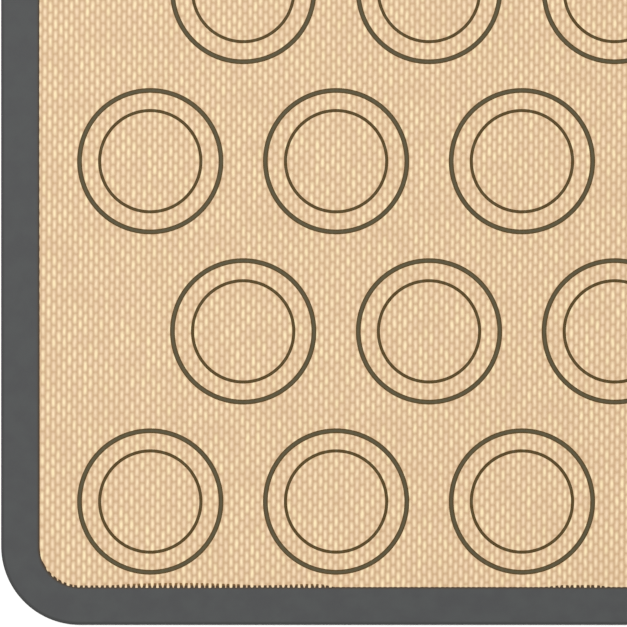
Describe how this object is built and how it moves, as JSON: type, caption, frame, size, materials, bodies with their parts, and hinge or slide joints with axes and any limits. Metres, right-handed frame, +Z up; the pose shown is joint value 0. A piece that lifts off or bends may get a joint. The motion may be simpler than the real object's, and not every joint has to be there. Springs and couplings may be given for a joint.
{
  "type": "silicone baking mat",
  "caption": "Flat half-sheet silicone baking mat: coated woven glass cloth, dark moulded edge band and staggered double-ring piping guides on the upper face.",
  "frame": {"origin": "centre of the mat's underside, on the surface that it lies on", "axes": "+X along the mat's length, +Y across it away from the front edge, +Z up out of the printed face"},
  "size_m": [0.42, 0.295, 0.0009],
  "materials": {
    "beige_silicone": "satin",
    "grey_silicone": "matte",
    "guide_ink": "matte",
    "glass_cloth": "matte"
  },
  "bodies": {
    "root": {"bottom_coat": "beige_silicone", "edge_band": "grey_silicone", "glass_cloth": "glass_cloth", "piping_guide_row1_col1": "guide_ink", "piping_guide_row1_col2": "guide_ink", "piping_guide_row1_col3": "guide_ink", "piping_guide_row1_col4": "guide_ink", "piping_guide_row1_col5": "guide_ink", "piping_guide_row1_col6": "guide_ink", "piping_guide_row2_col1": "guide_ink", "piping_guide_row2_col2": "guide_ink", "piping_guide_row2_col3": "guide_ink", "piping_guide_row2_col4": "guide_ink", "piping_guide_row2_col5": "guide_ink", "piping_guide_row2_col6": "guide_ink", "piping_guide_row3_col1": "guide_ink", "piping_guide_row3_col2": "guide_ink", "piping_guide_row3_col3": "guide_ink", "piping_guide_row3_col4": "guide_ink", "piping_guide_row3_col5": "guide_ink", "piping_guide_row3_col6": "guide_ink", "piping_guide_row4_col1": "guide_ink", "piping_guide_row4_col2": "guide_ink", "piping_guide_row4_col3": "guide_ink", "piping_guide_row4_col4": "guide_ink", "piping_guide_row4_col5": "guide_ink", "piping_guide_row4_col6": "guide_ink", "piping_guide_row5_col1": "guide_ink", "piping_guide_row5_col2": "guide_ink", "piping_guide_row5_col3": "guide_ink", "piping_guide_row5_col4": "guide_ink", "piping_guide_row5_col5": "guide_ink", "piping_guide_row5_col6": "guide_ink", "top_coat": "beige_silicone"}
  },
  "joints": []
}
